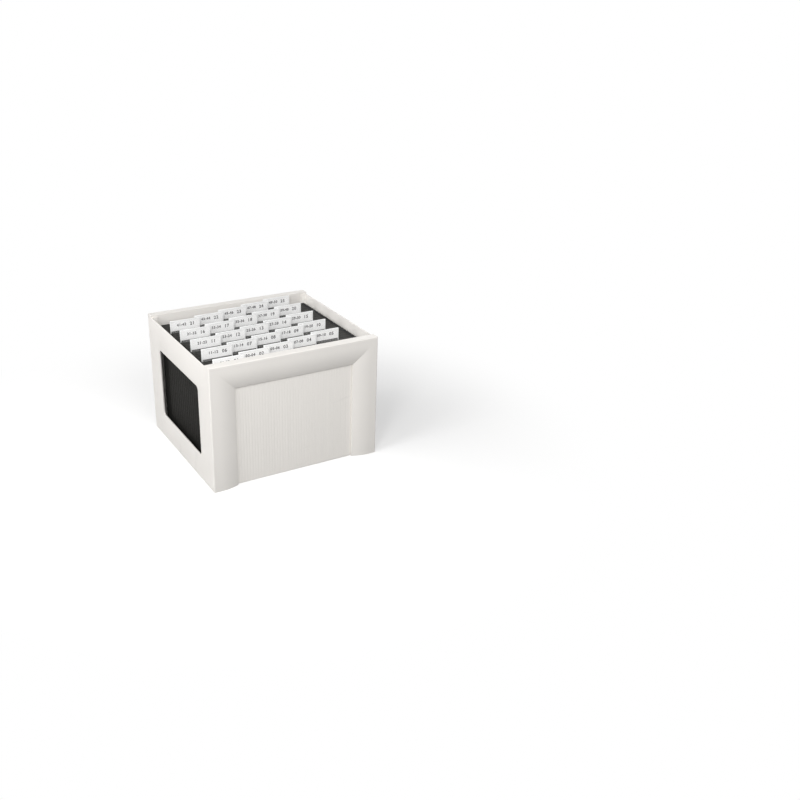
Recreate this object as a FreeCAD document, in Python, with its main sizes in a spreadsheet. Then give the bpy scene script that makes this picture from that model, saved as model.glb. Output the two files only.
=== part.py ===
import FreeCAD, Part
import os
import re
import Sketcher

# Hanging file box: an open moulded box with two hanging rails and a row of hanging folders.
# Millimetres, +Z up. The origin is the middle of the underside, and the front faces -Y.

SIZES = {
    # Box
    "box_width": 365.0,
    "box_depth": 340.0,
    "box_height": 264.0,
    "wall": 3.0,
    "edge_round": 2.5,
    "fit_gap": 0.1,
    # Front and back frames
    "frame_depth": 19.5,
    "band": 54.0,
    "band_land": 16.0,
    "roll_drop": 9.0,
    "groove_back": 2.8,
    "groove_depth": 9.0,
    # Twin-wall panels
    "panel_thick": 4.0,
    "panel_skin": 0.6,
    "flute_pitch": 6.0,
    "flute_web": 0.6,
    # Side frames
    "side_drop": 4.0,
    "grip_band": 57.0,
    "grip_lip": 8.0,
    "post": 62.0,
    "sill": 54.0,
    "opening_round": 9.0,
    "flange": 11.0,
    # Base
    "base_thick": 3.0,
    "base_rim": 12.0,
    # Hanging rails
    "rail_inset": 17.5,
    "rail_thick": 2.0,
    "rail_tall": 12.0,
    "rail_drop": 26.0,
    "rail_foot": 14.0,
    # Hanger rods
    "hook_reach": 9.0,
    "rod_tall": 7.0,
    "rod_thick": 1.0,
    "rod_gap": 0.05,
    "notch_depth": 3.5,
    "notch_gap": 0.7,
    # Folder cards
    "card_inset": 2.0,
    "card_lift": 9.0,
    "card_thick": 0.6,
    "hem_height": 9.0,
    "first_folder": 10.3,
    "last_folder": 3.2,
    "folder_gap": 2.8,
    "slot_drop": 11.0,
    "slot_tall": 1.6,
    "slot_width": 12.0,
    # Label tabs
    "tab_width": 64.0,
    "tab_tall": 26.5,
    "tab_thick": 2.0,
    "tab_wall": 0.6,
    "tab_gap": 0.2,
    "tab_overlap": 0.5,
    "tab_inset": 0.5,
    "last_tab_inset": 31.9,
    "foot_width": 10.0,
    "foot_reach": 1.4,
    "label_thick": 0.4,
    "label_gap": 0.2,
    # Screws
    "screw_shank": 4.0,
    "screw_head": 7.0,
    "head_tall": 2.2,
    "screw_reach": 8.0,
    "hole_gap": 0.05,
}
FOLDERS = 25
COLUMNS = 5
SLOTS_PER_COLUMN = 2
HALF_TURN = 180.0
QUARTER_TURN = 90.0
CLOSE = 0.001

# Sizes that follow from the ones above
DERIVED = {
    "side_top": "box_height - side_drop",
    "opening_top": "side_top - grip_band",
    "inner_width": "box_width - 2 * wall",
    "inner_depth": "box_depth - 2 * frame_depth",
    "groove_width": "panel_thick + 2 * fit_gap",
    "panel_recess": "frame_depth - groove_width - groove_back",
    "roll_radius": "((band - band_land)^2 + roll_drop^2) / (2 * roll_drop)",
    "hollow_width": "band - groove_depth - wall",
    "panel_inset": "band - groove_depth + fit_gap",
    "panel_width": "box_width - 2 * panel_inset",
    "panel_front": "panel_recess + fit_gap",
    "rail_spacing": "box_width - 2 * rail_inset",
    "rail_top": "box_height - rail_drop",
    "rod_length": "rail_spacing + 2 * hook_reach",
    "rod_bottom": "rail_top - notch_depth",
    "rod_top": "rod_bottom + rod_tall",
    "card_width": "rail_spacing - 2 * card_inset",
    "card_top": "rod_top + rod_gap + card_thick",
    "card_height": "card_top - base_thick - card_lift",
    "card_bottom": "card_top - card_height",
    "leaf_bottom": "card_bottom + card_thick",
    "folder_pitch": "(inner_depth - first_folder - last_folder) / %d" % FOLDERS,
    "pocket_depth": "folder_pitch - folder_gap",
    "hem_gap": "rod_thick + 2 * rod_gap",
    "hem_thick": "2 * card_thick + hem_gap",
    "notch_width": "rail_thick + 2 * notch_gap",
    "column_run": "card_width - tab_inset - tab_width - last_tab_inset",
    "column_pitch": "column_run / %d" % (COLUMNS - 1),
    "slot_pitch": "column_pitch / %d" % SLOTS_PER_COLUMN,
    "slot_top": "card_top - slot_drop",
    "first_column": "tab_inset + tab_width / 2 - card_width / 2",
    "tab_bottom": "card_top - tab_overlap",
    "tab_front": "tab_gap + tab_thick",
    "foot_tall": "slot_tall - 2 * fit_gap",
    "hole_across": "screw_shank + 2 * hole_gap",
    "rail_face": "(rail_spacing - rail_thick) / 2",
    "flange_screw": "box_width / 2 - wall - flange / 2",
    "rail_screw": "rail_face - rail_foot / 2",
    "rail_screw_rise": "rail_top - rail_tall / 2",
}

doc = FreeCAD.newDocument("HangingFileBox")
sheet = doc.addObject("Spreadsheet::Sheet", "Sizes")


def formula(text):
    """Turn a formula in plain size names into one that reads the sheet."""
    def with_sheet(name):
        known = name.group() in SIZES or name.group() in DERIVED
        return "Sizes." + name.group() if known else name.group()

    return re.sub(r"[a-z_]+", with_sheet, text)


def value(text):
    """The present value of a formula in plain size names."""
    return float(sheet.evalExpression(formula(text)))


def fill_sheet():
    """Write the driving sizes as numbers and the derived ones as formulas."""
    row = 1
    for name, size in SIZES.items():
        sheet.set("A%d" % row, name)
        sheet.set("B%d" % row, str(size))
        sheet.setAlias("B%d" % row, name)
        row += 1
    for name, text in DERIVED.items():
        sheet.set("A%d" % row, name)
        sheet.set("B%d" % row, "=" + text)
        sheet.setAlias("B%d" % row, name)
        row += 1
    doc.recompute()


def new_body(label):
    """Start a body whose label is also its file's name."""
    body = doc.addObject("PartDesign::Body", label)
    body.Label = label
    return body


def new_sketch(body, plane, offset):
    """Start a sketch on one of the body's own origin planes, moved along its normal."""
    sketch = body.newObject("Sketcher::SketchObject", "Sketch")
    support = [item for item in body.Origin.OriginFeatures if item.Role == plane + "_Plane"][0]
    sketch.AttachmentSupport = (support, [""])
    sketch.MapMode = "FlatFace"
    sketch.setExpression("AttachmentOffset.Base.z", formula(offset))
    return sketch


def pin(sketch, edge, end, across, up):
    """Tie a point of the sketch to two formulas."""
    spots = (("DistanceX", across), ("DistanceY", up))
    for kind, text in spots:
        index = sketch.addConstraint(Sketcher.Constraint(kind, edge, end, value(text)))
        sketch.setExpression("Constraints[%d]" % index, formula(text))


def arc_between(start, finish, radius):
    """A short arc that leaves its chord on the left hand for a positive radius."""
    chord = finish - start
    middle = (start + finish) / 2
    side = FreeCAD.Vector(-chord.y, chord.x, 0).normalize()
    size = abs(radius)
    sagitta = size - (size ** 2 - (chord.Length / 2) ** 2) ** 0.5
    return Part.Arc(start, middle + side * sagitta * (1 if radius > 0 else -1), finish)


def outline(sketch, corners):
    """Draw a closed outline. A corner is (across, up) or (across, up, radius of the arc to the next)."""
    first = sketch.GeometryCount
    count = len(corners)
    points = [FreeCAD.Vector(value(corner[0]), value(corner[1]), 0) for corner in corners]
    starts = []
    ends = []
    for index, corner in enumerate(corners):
        start = points[index]
        finish = points[(index + 1) % count]
        if len(corner) == 2:
            sketch.addGeometry(Part.LineSegment(start, finish), False)
            starts.append(1)
            ends.append(2)
            continue
        arc = arc_between(start, finish, value(corner[2]))
        sketch.addGeometry(arc, False)
        forward = sketch.getPoint(first + index, 1).distanceToPoint(start) < CLOSE
        starts.append(1 if forward else 2)
        ends.append(2 if forward else 1)
    for index in range(count):
        following = (index + 1) % count
        meeting = (first + index, ends[index], first + following, starts[following])
        sketch.addConstraint(Sketcher.Constraint("Coincident", *meeting))
    for index, corner in enumerate(corners):
        pin(sketch, first + index, starts[index], corner[0], corner[1])
        if len(corner) == 3:
            size = abs(value(corner[2]))
            held = sketch.addConstraint(Sketcher.Constraint("Radius", first + index, size))
            sketch.setExpression("Constraints[%d]" % held, formula("abs(%s)" % corner[2]))


def rectangle(sketch, left, right, bottom, top):
    """Draw a rectangle between two formulas across and two up."""
    outline(sketch, [(left, bottom), (right, bottom), (right, top), (left, top)])


def circle(sketch, across, up, diameter):
    """Draw a round hole's outline."""
    centre = FreeCAD.Vector(value(across), value(up), 0)
    edge = sketch.addGeometry(Part.Circle(centre, FreeCAD.Vector(0, 0, 1), value(diameter) / 2), False)
    pin(sketch, edge, 3, across, up)
    held = sketch.addConstraint(Sketcher.Constraint("Diameter", edge, value(diameter)))
    sketch.setExpression("Constraints[%d]" % held, formula(diameter))


def pad(body, sketch, length):
    """Add the sketch's outline to the body, along the plane's normal."""
    feature = body.newObject("PartDesign::Pad", "Pad")
    feature.Profile = sketch
    feature.setExpression("Length", formula(length))
    sketch.Visibility = False
    doc.recompute()
    return feature


def pocket(body, sketch, length):
    """Cut the sketch's outline out of the body, along the plane's normal, and see that it cuts."""
    before = body.Shape.Volume
    feature = body.newObject("PartDesign::Pocket", "Pocket")
    feature.Profile = sketch
    feature.Reversed = True
    feature.setExpression("Length", formula(length))
    sketch.Visibility = False
    doc.recompute()
    if not body.Shape.Volume < before:
        raise RuntimeError("the pocket cuts nothing from " + body.Label)
    return feature


def repeat_across(body, feature, sketch, pitch, count):
    """Repeat a feature along the sketch's first axis."""
    pattern = body.newObject("PartDesign::LinearPattern", "Row")
    pattern.Originals = [feature]
    pattern.Direction = (sketch, ["H_Axis"])
    pattern.Mode = "Spacing"
    pattern.setExpression("Offset", formula(pitch))
    pattern.setExpression("Occurrences", formula(count))
    body.Tip = pattern
    doc.recompute()
    return pattern


def rounded(body, near, radius):
    """Round the edges whose middles lie at the given points."""
    edges = []
    for index, edge in enumerate(body.Shape.Edges, 1):
        middle = edge.valueAt((edge.FirstParameter + edge.LastParameter) / 2)
        if any(middle.distanceToPoint(point) < CLOSE for point in near):
            edges.append("Edge%d" % index)
    tip = body.Tip
    feature = body.newObject("PartDesign::Fillet", "Round")
    feature.Base = (tip, edges)
    feature.setExpression("Radius", formula(radius))
    doc.recompute()
    return feature


def turned(body, angle):
    """Turn a finished body about the upright axis through the box's middle."""
    body.Placement = FreeCAD.Placement(FreeCAD.Vector(), FreeCAD.Rotation(FreeCAD.Vector(0, 0, 1), angle))
    return body


# Screw places on the inner face of the front frame, across and up
RAIL_SCREWS = [(side + "rail_screw", "rail_screw_rise") for side in ("-", "")]
FLANGE_RISES = ("sill / 2", "box_height / 2", "opening_top")
FLANGE_SCREWS = [(side + "flange_screw", rise) for side in ("-", "") for rise in FLANGE_RISES]


def band_corners(place):
    """The section of a frame's band. Its first number is the way in from the box's outer edge."""
    section = [
        ("0", "edge_round", "-edge_round"),
        ("edge_round", "0"),
        ("band_land", "0", "-roll_radius"),
        ("band", "roll_drop"),
        ("band", "panel_recess"),
        ("band - groove_depth", "panel_recess"),
        ("band - groove_depth", "panel_recess + groove_width"),
        ("band", "panel_recess + groove_width"),
        ("band", "frame_depth"),
        ("0", "frame_depth"),
    ]
    return [place(*corner) for corner in section]


def hollow_corners(place):
    """The section of the hollow inside a frame's band."""
    section = [
        ("wall", "wall"),
        ("band_land", "wall"),
        ("hollow_width", "panel_recess"),
        ("hollow_width", "frame_depth - wall"),
        ("wall", "frame_depth - wall"),
    ]
    return [place(*corner) for corner in section]


def left_place(inward, deep, radius=None):
    """Place a point of a band's section on the left post, seen from above."""
    corner = ("%s - box_width / 2" % inward, "%s - box_depth / 2" % deep)
    return corner if radius is None else corner + (radius,)


def right_place(inward, deep, radius=None):
    """Place a point of a band's section on the right post, seen from above."""
    corner = ("box_width / 2 - (%s)" % inward, "%s - box_depth / 2" % deep)
    return corner if radius is None else corner + ("-(%s)" % radius,)


def top_place(inward, deep, radius=None):
    """Place a point of a band's section on the top band, seen from its end."""
    corner = ("%s - box_depth / 2" % deep, "box_height - (%s)" % inward)
    return corner if radius is None else corner + (radius,)


def add_section(body, plane, offset, length, corners):
    """Pad one outline."""
    sketch = new_sketch(body, plane, offset)
    outline(sketch, corners)
    return pad(body, sketch, length)


def cut_section(body, plane, offset, length, corners):
    """Cut one outline."""
    sketch = new_sketch(body, plane, offset)
    outline(sketch, corners)
    return pocket(body, sketch, length)


def frame(label, angle):
    """A picture frame of two posts and a top band, with a rolled face and a groove for the panel."""
    body = new_body(label)
    for place in (left_place, right_place):
        add_section(body, "XY", "0", "box_height", band_corners(place))
    add_section(body, "YZ", "-box_width / 2", "box_width", band_corners(top_place))
    for place in (left_place, right_place):
        cut_section(body, "XY", "wall", "box_height - 2 * wall", hollow_corners(place))
    cut_section(body, "YZ", "wall - box_width / 2", "inner_width", hollow_corners(top_place))
    holes = new_sketch(body, "XZ", "inner_depth / 2")
    for across, up in RAIL_SCREWS + FLANGE_SCREWS:
        circle(holes, across, up, "hole_across")
    pocket(body, holes, "wall")
    return turned(body, angle)


def panel(label, angle):
    """A twin-wall sheet whose flutes run upright between its two skins."""
    body = new_body(label)
    tall = "box_height - panel_inset - base_thick"
    sheet_sketch = new_sketch(body, "XY", "base_thick")
    front = "panel_front - box_depth / 2"
    rectangle(sheet_sketch, "-panel_width / 2", "panel_width / 2", front, front + " + panel_thick")
    pad(body, sheet_sketch, tall)
    flute = new_sketch(body, "XY", "base_thick")
    left = "flute_web - panel_width / 2"
    right = "flute_pitch - panel_width / 2"
    rectangle(flute, left, right, front + " + panel_skin", front + " + panel_thick - panel_skin")
    cut = pocket(body, flute, tall)
    repeat_across(body, cut, flute, "flute_pitch", "floor((panel_width - flute_web) / flute_pitch)")
    return turned(body, angle)


def side_frame(label, angle):
    """A thin side wall with a hand opening, a grip lip and flanges that meet the two frames."""
    body = new_body(label)
    outer = "-box_width / 2"
    inner = "wall - box_width / 2"
    half = "(inner_depth / 2 - fit_gap)"
    reach = "(box_depth / 2 - post)"
    plate = new_sketch(body, "YZ", outer)
    rectangle(plate, "-" + half, half, "0", "side_top")
    pad(body, plate, "wall")
    hand = new_sketch(body, "YZ", outer)
    rectangle(hand, "-" + reach, reach, "sill", "opening_top")
    pocket(body, hand, "wall")
    corners = []
    for along in ("-" + reach, reach):
        for up in ("sill", "opening_top"):
            corners.append(FreeCAD.Vector(value(outer + " + wall / 2"), value(along), value(up)))
    rounded(body, corners, "opening_round")
    lip = new_sketch(body, "YZ", inner)
    lip_end = reach + " - opening_round"
    rectangle(lip, "opening_round - " + reach, lip_end, "opening_top", "opening_top + wall")
    pad(body, lip, "grip_lip")
    flanges = new_sketch(body, "YZ", inner)
    low = "base_thick + fit_gap"
    rectangle(flanges, "-" + half, "wall - " + half, low, "side_top")
    rectangle(flanges, half + " - wall", half, low, "side_top")
    pad(body, flanges, "flange")
    holes = new_sketch(body, "XZ", "-inner_depth / 2")
    for rise in FLANGE_RISES:
        circle(holes, "-flange_screw", rise, "hole_across")
    pocket(body, holes, "inner_depth")
    return turned(body, angle)


def base(label):
    """The floor of the box: a plate, tongues that carry the panels and ribs behind them."""
    body = new_body(label)
    half_width = "(inner_width / 2 - fit_gap)"
    half_depth = "(inner_depth / 2 - fit_gap)"
    half_tongue = "(box_width / 2 - band - fit_gap)"
    panel_back = "(box_depth / 2 - panel_front - panel_thick - fit_gap)"
    plate = new_sketch(body, "XY", "0")
    outline(plate, [
        ("-" + half_width, "-" + half_depth),
        ("-" + half_tongue, "-" + half_depth),
        ("-" + half_tongue, "panel_front - box_depth / 2"),
        (half_tongue, "panel_front - box_depth / 2"),
        (half_tongue, "-" + half_depth),
        (half_width, "-" + half_depth),
        (half_width, half_depth),
        (half_tongue, half_depth),
        (half_tongue, "box_depth / 2 - panel_front"),
        ("-" + half_tongue, "box_depth / 2 - panel_front"),
        ("-" + half_tongue, half_depth),
        ("-" + half_width, half_depth),
    ])
    pad(body, plate, "base_thick")
    ribs = new_sketch(body, "XY", "base_thick")
    rectangle(ribs, "-" + half_tongue, half_tongue, "-" + panel_back, "wall - " + panel_back)
    rectangle(ribs, "-" + half_tongue, half_tongue, panel_back + " - wall", panel_back)
    pad(body, ribs, "base_rim - base_thick")
    return body


def rail(label, angle):
    """A flat strip on edge between the frames, with a turned foot at each end."""
    body = new_body(label)
    near = "(inner_depth / 2)"
    strip = new_sketch(body, "XY", "rail_top - rail_tall")
    outline(strip, [
        ("-rail_face - rail_thick", "-" + near),
        ("rail_foot - rail_face", "-" + near),
        ("rail_foot - rail_face", "rail_thick - " + near),
        ("-rail_face", "rail_thick - " + near),
        ("-rail_face", near + " - rail_thick"),
        ("rail_foot - rail_face", near + " - rail_thick"),
        ("rail_foot - rail_face", near),
        ("-rail_face - rail_thick", near),
    ])
    pad(body, strip, "rail_tall")
    holes = new_sketch(body, "XZ", "-inner_depth / 2")
    circle(holes, "-rail_screw", "rail_screw_rise", "hole_across")
    pocket(body, holes, "inner_depth")
    return turned(body, angle)


def leaf(name, place):
    """One leaf of a folder's card, hemmed over its rod. The number placed is the depth from its outside."""
    body = new_body(name)
    section = new_sketch(body, "YZ", "-card_width / 2")
    outline(section, [
        (place % "0", "leaf_bottom"),
        (place % "card_thick", "leaf_bottom"),
        (place % "card_thick", "card_top - card_thick"),
        (place % "(card_thick + hem_gap)", "card_top - card_thick"),
        (place % "(card_thick + hem_gap)", "card_top - hem_height"),
        (place % "hem_thick", "card_top - hem_height"),
        (place % "hem_thick", "card_top"),
        (place % "0", "card_top"),
    ])
    pad(body, section, "card_width")
    return body


def slotted_leaf(name):
    """The front leaf, with a row of slots for the tabs."""
    body = leaf(name, "%s")
    slot = new_sketch(body, "XZ", "-card_thick")
    centre = "first_column - slot_pitch / 2"
    left = centre + " - slot_width / 2"
    right = centre + " + slot_width / 2"
    rectangle(slot, left, right, "slot_top - slot_tall", "slot_top")
    cut = pocket(body, slot, "card_thick")
    repeat_across(body, cut, slot, "slot_pitch", str(COLUMNS * SLOTS_PER_COLUMN))
    return body


def base_strip(name):
    """The flat strip between the two creases at a folder's foot, which joins its leaves."""
    body = new_body(name)
    section = new_sketch(body, "YZ", "-card_width / 2")
    rectangle(section, "0", "pocket_depth", "card_bottom", "leaf_bottom")
    pad(body, section, "card_width")
    return body


def rod(name, deep):
    """A flat hanger rod with a notch near each end that sits on a rail."""
    body = new_body(name)
    strip = new_sketch(body, "XZ", "-(%s) - rod_thick" % deep)
    edge = "rod_length / 2"
    inner = "(rail_spacing - notch_width) / 2"
    outer = "(rail_spacing + notch_width) / 2"
    outline(strip, [
        ("-" + edge, "rod_bottom"),
        ("-" + outer, "rod_bottom"),
        ("-" + outer, "rail_top"),
        ("-" + inner, "rail_top"),
        ("-" + inner, "rod_bottom"),
        (inner, "rod_bottom"),
        (inner, "rail_top"),
        (outer, "rail_top"),
        (outer, "rod_bottom"),
        (edge, "rod_bottom"),
        (edge, "rod_top"),
        ("-" + edge, "rod_top"),
    ])
    pad(body, strip, "rod_thick")
    return body


def holder():
    """A clear tab: a flat sleeve for the label, with two feet that hook into the card's slots."""
    body = new_body("holder")
    sleeve = new_sketch(body, "YZ", "-tab_width / 2")
    rectangle(sleeve, "-tab_front", "-tab_gap", "tab_bottom", "tab_bottom + tab_tall")
    low = "tab_bottom + tab_wall"
    high = "tab_bottom + tab_tall - tab_wall"
    rectangle(sleeve, "tab_wall - tab_front", "-tab_gap - tab_wall", low, high)
    pad(body, sleeve, "tab_width")
    sole = "slot_top - slot_tall + fit_gap"
    feet = new_sketch(body, "XZ", "tab_gap")
    tongues = new_sketch(body, "XZ", "-card_thick - foot_reach")
    for side in ("-", ""):
        middle = side + "slot_pitch / 2"
        left = middle + " - foot_width / 2"
        right = middle + " + foot_width / 2"
        rectangle(feet, left, right, sole, "tab_bottom + tab_wall")
        rectangle(tongues, left, right, sole, sole + " + foot_tall")
    pad(body, feet, "tab_wall")
    pad(body, tongues, "card_thick + foot_reach + tab_gap")
    return body


def label_sheet():
    """The paper label inside a tab's sleeve."""
    sheet_box = doc.addObject("Part::Box", "label_sheet")
    wide = "(tab_width - 2 * label_gap)"
    inside = "(tab_tall - 2 * tab_wall - 2 * label_gap)"
    sheet_box.setExpression("Length", formula(wide))
    sheet_box.setExpression("Width", formula("label_thick"))
    sheet_box.setExpression("Height", formula(inside))
    sheet_box.setExpression("Placement.Base.x", formula("-%s / 2" % wide))
    sheet_box.setExpression("Placement.Base.y", formula("label_gap / 2 + tab_wall - tab_front"))
    sheet_box.setExpression("Placement.Base.z", formula("tab_bottom + tab_wall + label_gap"))
    return sheet_box


def group(label, pieces, across, along):
    """One node of several separate solids, moved across and along the box."""
    node = doc.addObject("Part::Compound", label)
    node.Label = label
    node.Links = pieces
    node.setExpression("Placement.Base.x", formula(across))
    node.setExpression("Placement.Base.y", formula(along))
    return node


def folder_rows():
    """The row of folders with their tabs, one column further right on each folder back."""
    pieces = [slotted_leaf("front_leaf"), leaf("rear_leaf", "pocket_depth - %s"), base_strip("base_strip")]
    pieces.append(rod("front_rod", "card_thick + rod_gap"))
    pieces.append(rod("rear_rod", "pocket_depth - card_thick - rod_gap - rod_thick"))
    tab_pieces = [holder(), label_sheet()]
    nodes = []
    for index in range(FOLDERS):
        along = "frame_depth + first_folder + %d * folder_pitch - box_depth / 2" % index
        across = "first_column + %d * column_pitch" % (index % COLUMNS)
        nodes.append(group("folder_%02d" % (index + 1), pieces, "0", along))
        nodes.append(group("tab_%02d" % (index + 1), tab_pieces, across, along))
    return nodes


def screw(across, up, seat, end):
    """One pan-head screw in a frame's inner face, seated on a piece of the given thickness."""
    head = doc.addObject("Part::Cylinder", "Head")
    head.setExpression("Radius", formula("screw_head / 2"))
    head.setExpression("Height", formula("head_tall"))
    shank = doc.addObject("Part::Cylinder", "Shank")
    shank.setExpression("Radius", formula("screw_shank / 2"))
    shank.setExpression("Height", formula("screw_reach"))
    shank.setExpression("Placement.Base.z", formula("-screw_reach"))
    whole = doc.addObject("Part::Fuse", "Screw")
    whole.Base = head
    whole.Tool = shank
    whole.Placement.Rotation = FreeCAD.Rotation(FreeCAD.Vector(1, 0, 0), -QUARTER_TURN * end)
    whole.setExpression("Placement.Base.x", formula(across))
    whole.setExpression("Placement.Base.y", formula("%d * (inner_depth / 2 - (%s))" % (-end, seat)))
    whole.setExpression("Placement.Base.z", formula(up))
    return whole


def screws(label):
    """All the screws, at both ends of the box."""
    pieces = []
    for end in (1, -1):
        pieces += [screw(across, up, "rail_thick", end) for across, up in RAIL_SCREWS]
        pieces += [screw(across, up, "wall + fit_gap", end) for across, up in FLANGE_SCREWS]
    return group(label, pieces, "0", "0")


def check(nodes):
    """Refuse to write anything if an object failed or a shape is not sound."""
    for item in doc.Objects:
        if "Invalid" in item.State or "Error" in item.State:
            raise RuntimeError("%s is in state %s" % (item.Label, item.State))
    for node in nodes:
        if node.Shape.isNull() or not node.Shape.isValid() or not node.Shape.Solids:
            raise RuntimeError(node.Label + " has no sound shape")


def export(nodes):
    """Write one STEP file for each node."""
    os.makedirs("parts", exist_ok=True)
    for node in nodes:
        node.Shape.exportStep("parts/%s.step" % node.Label)


fill_sheet()
box_nodes = [
    frame("front_frame", 0.0),
    frame("back_frame", HALF_TURN),
    panel("front_panel", 0.0),
    panel("back_panel", HALF_TURN),
    side_frame("left_side_frame", 0.0),
    side_frame("right_side_frame", HALF_TURN),
    base("base"),
    rail("left_rail", 0.0),
    rail("right_rail", HALF_TURN),
    screws("screws"),
]
all_nodes = box_nodes + folder_rows()
doc.recompute()
check(all_nodes)
export(all_nodes)
print("%d nodes" % len(all_nodes))
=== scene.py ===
import math

import bmesh
import bpy
from mathutils import Matrix, Vector


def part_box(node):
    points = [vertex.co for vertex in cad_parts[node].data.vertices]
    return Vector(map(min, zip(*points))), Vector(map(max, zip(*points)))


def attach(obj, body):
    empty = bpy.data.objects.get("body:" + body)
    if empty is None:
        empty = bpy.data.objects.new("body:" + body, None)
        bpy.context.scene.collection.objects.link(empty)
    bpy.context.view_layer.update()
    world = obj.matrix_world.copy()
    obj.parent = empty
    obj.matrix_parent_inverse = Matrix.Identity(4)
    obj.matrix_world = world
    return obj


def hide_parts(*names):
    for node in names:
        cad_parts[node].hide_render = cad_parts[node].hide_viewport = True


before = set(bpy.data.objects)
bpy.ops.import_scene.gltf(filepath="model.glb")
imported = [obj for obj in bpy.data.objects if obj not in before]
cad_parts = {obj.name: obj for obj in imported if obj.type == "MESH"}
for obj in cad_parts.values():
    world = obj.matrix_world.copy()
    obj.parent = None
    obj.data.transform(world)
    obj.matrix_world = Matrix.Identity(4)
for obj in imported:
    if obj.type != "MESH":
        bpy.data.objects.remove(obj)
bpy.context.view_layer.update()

MM = 0.001
HAIR = 0.01 * MM  # places closer than this are one place
NEAR = 0.1 * MM  # a close fit, or about the same place
FOLDERS = 25

# Places read from the frame
BOX_LOW, BOX_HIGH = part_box("front_frame")
BACK_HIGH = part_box("back_frame")[1]
PANEL_LOW, PANEL_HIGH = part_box("front_panel")
SIDE_LOW, SIDE_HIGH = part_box("left_side_frame")
BASE_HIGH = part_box("base")[1]
RAIL_LOW, RAIL_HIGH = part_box("left_rail")
FOLDER_LOW, FOLDER_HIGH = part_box("folder_01")
TAB_LOW, TAB_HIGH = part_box("tab_01")

# Box moulding
WALL = 3.0 * MM
BAND = 54.0 * MM
LAND = 16.0 * MM
ROLL_DROP = 9.0 * MM
OUTER_ROUND = 2.5 * MM
GROOVE_DEPTH = 9.0 * MM
FRAME_DEPTH = BOX_HIGH.y - BOX_LOW.y
BOX_HALF = BOX_HIGH.x
BOX_TOP = BOX_HIGH.z
PANEL_FACE = PANEL_LOW.y - BOX_LOW.y
PANEL_BACK = PANEL_HIGH.y - BOX_LOW.y

# Side walls
POST = 62.0 * MM
SILL = 54.0 * MM
GRIP_BAND = 57.0 * MM
GRIP_LIP = 8.0 * MM
OPENING_ROUND = 9.0 * MM

# Base, rails and screws
BASE_THICK = 3.0 * MM
RIB_SUNK = 0.2 * MM
RAIL_THICK = 2.0 * MM
RAIL_CENTRE = 165.0 * MM
SCREW_HEAD = 3.5 * MM
SCREW_TALL = 2.2 * MM

# Folder cards
CARD_HALF = 163.0 * MM
CARD_THICK = 0.6 * MM
HEM_GAP = 1.1 * MM
HEM_HEIGHT = 9.0 * MM
SLOT_DROP = 11.0 * MM
SLOT_TALL = 1.6 * MM
SLOT_WIDTH = 12.0 * MM
SLOT_PITCH = 28.7 * MM
SLOTS = 10
CREASE_PITCH = 10.0 * MM
CREASED_HEIGHT = 36.0 * MM
STIFF_TOP = 30.0 * MM  # the leaves hang straight down to here
ROD_TALL = 7.0 * MM
ROD_THICK = 1.0 * MM
ROD_GAP = 0.05 * MM
NOTCH_HALF = 1.7 * MM

# Label tabs
TAB_BORDER = 1.9 * MM
TAB_CLEAR_EDGE = 4.4 * MM
TAB_TALL = 26.5 * MM
TAB_WALL = 0.6 * MM
TAB_GAP = 0.2 * MM
LABEL_GAP = 0.2 * MM
LABEL_THICK = 0.4 * MM
FOOT_HALF = 5.0 * MM
TONGUE_TALL = 1.4 * MM

# Printed numbers: size, then way in and up from the tab's lower left corner
LONG_PRINT = (7.8 * MM, 14.5 * MM, 13.8 * MM)
SHORT_PRINT = (9.6 * MM, 42.5 * MM, 12.9 * MM)
PRINT_WEIGHT = 0.3 * MM
PRINT_SPREAD = 1.12
PRINT_THICK = 0.01 * MM

# Sockets of a colour mix
MIX_FIRST, MIX_SECOND, MIX_RESULT = 6, 7, 2

# Floor, light and camera
WHITE = (1, 1, 1, 1)
FLOOR_SIZE = 400
FLOOR_FADE = (0.3, 0.75)  # from shaded to plain white, by the way out from the middle
SURROUND = 0.40
LAMP_AWAY = 1.7
LAMPS = (  # name, azimuth, elevation, strength, size
    ("key_lamp", -36, 30, 0.7, 0.4),
    ("side_lamp", -75, 25, 1.57, 1.0),
    ("left_lamp", -120, 30, 0.57, 1.0),
    ("front_lamp", 0, 35, 1.2, 1.0),
    ("fill_lamp", 135, 12, 0.7, 1.0),
)
LENS, SENSOR = 42.9, 36  # in millimetres
CAMERA_PLACE = (-0.7633, -1.7157, 0.9569)
CAMERA_ANGLES = (65.314, -2.037, -32.076)


def deselect():
    """Leave nothing selected, so that an operator acts on the piece in hand alone."""
    bpy.ops.object.select_all(action="DESELECT")


def pick(piece):
    """Select one piece and make it the active one."""
    deselect()
    piece.select_set(True)
    bpy.context.view_layer.objects.active = piece


def pull(offset):
    """Extrude what is selected by an offset."""
    bpy.ops.mesh.extrude_region_move(TRANSFORM_OT_translate={"value": offset})


def select_where(piece, kind, test):
    """Select the faces or edges of the piece in edit mode that pass a test."""
    bpy.ops.mesh.select_mode(type={"faces": "FACE", "edges": "EDGE"}[kind])
    bpy.ops.mesh.select_all(action="DESELECT")
    mesh = bmesh.from_edit_mesh(piece.data)
    for item in getattr(mesh, kind):
        corners = [vert.co for vert in item.verts]
        middle = sum(corners, Vector()) / len(corners)
        item.select_set(bool(test(item, middle, corners)))
    mesh.select_flush_mode()
    bmesh.update_edit_mesh(piece.data)


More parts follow.
